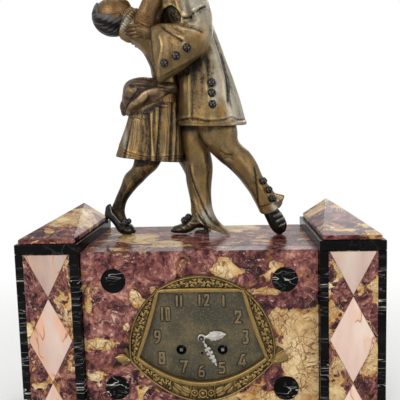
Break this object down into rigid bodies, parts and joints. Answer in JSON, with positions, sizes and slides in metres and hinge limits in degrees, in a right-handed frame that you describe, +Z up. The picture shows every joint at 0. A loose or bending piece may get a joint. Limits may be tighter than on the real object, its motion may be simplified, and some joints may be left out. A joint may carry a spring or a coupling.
{
  "type": "figural mantel clock",
  "caption": "Mantel clock: pillared marble case with inlays, metal dial in a relief bezel, pendulum movement that strikes on a bell, and a dancing couple cast in metal on top",
  "frame": {"origin": "middle of the underside of the case", "axes": "+Z up; the dial faces -Y; +X to the right as the clock is read"},
  "size_m": [0.41, 0.156, 0.5671],
  "materials": {
    "breccia": "polished",
    "black_marble": "polished",
    "pink_onyx": "polished",
    "bezel_brass": "satin",
    "dial_metal": "matte",
    "hand_metal": "satin",
    "movement_brass": "satin",
    "steel": "satin",
    "bell_metal": "satin",
    "bronze": "satin",
    "figure_skin": "satin"
  },
  "bodies": {
    "case": {"front_slab": "breccia", "top_slab": "breccia", "base_slab": "breccia", "back_slab": "breccia", "lower_left_inlay": "black_marble", "upper_left_inlay": "black_marble", "lower_right_inlay": "black_marble", "upper_right_inlay": "black_marble", "left_pillar_block": "black_marble", "left_field_plate": "breccia", "left_bottom_onyx": "pink_onyx", "left_middle_onyx": "pink_onyx", "left_top_onyx": "pink_onyx", "left_cap_slab": "black_marble", "left_cap": "breccia", "right_pillar_block": "black_marble", "right_field_plate": "breccia", "right_bottom_onyx": "pink_onyx", "right_middle_onyx": "pink_onyx", "right_top_onyx": "pink_onyx", "right_cap_slab": "black_marble", "right_cap": "breccia", "dial_bezel": "bezel_brass", "dial_plate": "dial_metal", "movement_front_plate": "movement_brass", "movement_back_plate": "movement_brass", "suspension_cock": "movement_brass", "bell": "bell_metal", "door_ring": "movement_brass", "man_smock": "bronze", "man_near_sleeve": "bronze", "man_head": "figure_skin", "man_near_hand": "figure_skin", "man_far_arm": "bronze", "man_rear_leg": "bronze", "man_front_leg": "bronze", "woman_sash": "bronze", "woman_skirt": "bronze", "woman_bodice": "bronze", "woman_head": "figure_skin", "woman_near_arm": "figure_skin", "woman_near_leg": "figure_skin", "woman_far_leg": "figure_skin"},
    "minute_work": {"centre_arbor": "movement_brass", "minute_hand": "hand_metal", "hand_nut": "movement_brass"},
    "hour_work": {"hour_wheel": "movement_brass", "hour_hand": "hand_metal"},
    "going_barrel": {"going_barrel": "movement_brass"},
    "going_arbor": {"going_winding_arbor": "steel"},
    "strike_barrel": {"strike_barrel": "movement_brass"},
    "strike_arbor": {"strike_winding_arbor": "steel"},
    "intermediate_wheel": {"intermediate_wheel": "movement_brass"},
    "third_wheel": {"third_wheel": "movement_brass"},
    "escape_wheel": {"escape_wheel": "movement_brass"},
    "anchor": {"pallet_anchor": "steel"},
    "pendulum": {"pendulum": "movement_brass"},
    "hammer": {"strike_hammer": "steel"},
    "door": {"rear_door": "movement_brass"},
    "latch": {"door_latch": "movement_brass"}
  },
  "joints": [
    {"name": "third_wheel_turn", "type": "hinge", "parent": "case", "child": "third_wheel", "pos_m": [-0.00335, -0.04, 0.12571], "axis": [0, 1, 0], "continuous": true},
    {"name": "minute_hand_turn", "type": "hinge", "parent": "case", "child": "minute_work", "pos_m": [0.002, -0.05, 0.111], "axis": [0, 1, 0], "continuous": true},
    {"name": "hour_hand_turn", "type": "hinge", "parent": "case", "child": "hour_work", "pos_m": [0.002, -0.06, 0.111], "axis": [0, 1, 0], "continuous": true},
    {"name": "intermediate_wheel_turn", "type": "hinge", "parent": "case", "child": "intermediate_wheel", "pos_m": [0.01641, -0.04, 0.11598], "axis": [0, 1, 0], "continuous": true},
    {"name": "going_barrel_turn", "type": "hinge", "parent": "case", "child": "going_barrel", "pos_m": [0.0255, -0.04, 0.096], "axis": [0, 1, 0], "continuous": true},
    {"name": "escape_wheel_turn", "type": "hinge", "parent": "case", "child": "escape_wheel", "pos_m": [0.002, -0.04, 0.13783], "axis": [0, 1, 0], "continuous": true},
    {"name": "going_winding", "type": "hinge", "parent": "case", "child": "going_arbor", "pos_m": [0.0255, -0.06, 0.096], "axis": [0, 1, 0], "continuous": true},
    {"name": "strike_barrel_turn", "type": "hinge", "parent": "case", "child": "strike_barrel", "pos_m": [-0.0215, -0.04, 0.096], "axis": [0, 1, 0], "continuous": true},
    {"name": "strike_winding", "type": "hinge", "parent": "case", "child": "strike_arbor", "pos_m": [-0.0215, -0.06, 0.096], "axis": [0, 1, 0], "continuous": true},
    {"name": "pendulum_swing", "type": "hinge", "parent": "case", "child": "pendulum", "pos_m": [0.002, -0.016, 0.14943], "axis": [0, 1, 0], "range_deg": [-3, 3]},
    {"name": "anchor_rock", "type": "hinge", "parent": "case", "child": "anchor", "pos_m": [0.002, -0.03, 0.14943], "axis": [0, 1, 0], "range_deg": [-3, 3]},
    {"name": "hammer_lift", "type": "hinge", "parent": "case", "child": "hammer", "pos_m": [-0.039, -0.022, 0.101], "axis": [0, 1, 0], "range_deg": [-17, 0], "stiffness_Nm_per_rad": 0.05, "springref_deg": 11.46},
    {"name": "rear_door_hinge", "type": "hinge", "parent": "case", "child": "door", "pos_m": [0.061, 0.0771, 0.111], "axis": [0, 0, -1], "range_deg": [0, 110]},
    {"name": "door_latch_turn", "type": "hinge", "parent": "door", "child": "latch", "pos_m": [-0.0437, 0.08, 0.111], "axis": [0, 1, 0], "range_deg": [0, 90]}
  ],
  "couplings": [
    {"joint": "minute_hand_turn", "follows": "third_wheel_turn", "ratio": -0.2},
    {"joint": "hour_hand_turn", "follows": "third_wheel_turn", "ratio": -0.016667},
    {"joint": "intermediate_wheel_turn", "follows": "third_wheel_turn", "ratio": 0.04},
    {"joint": "going_barrel_turn", "follows": "third_wheel_turn", "ratio": -0.0066667},
    {"joint": "escape_wheel_turn", "follows": "third_wheel_turn", "ratio": -6},
    {"joint": "anchor_rock", "follows": "pendulum_swing", "ratio": 1}
  ]
}
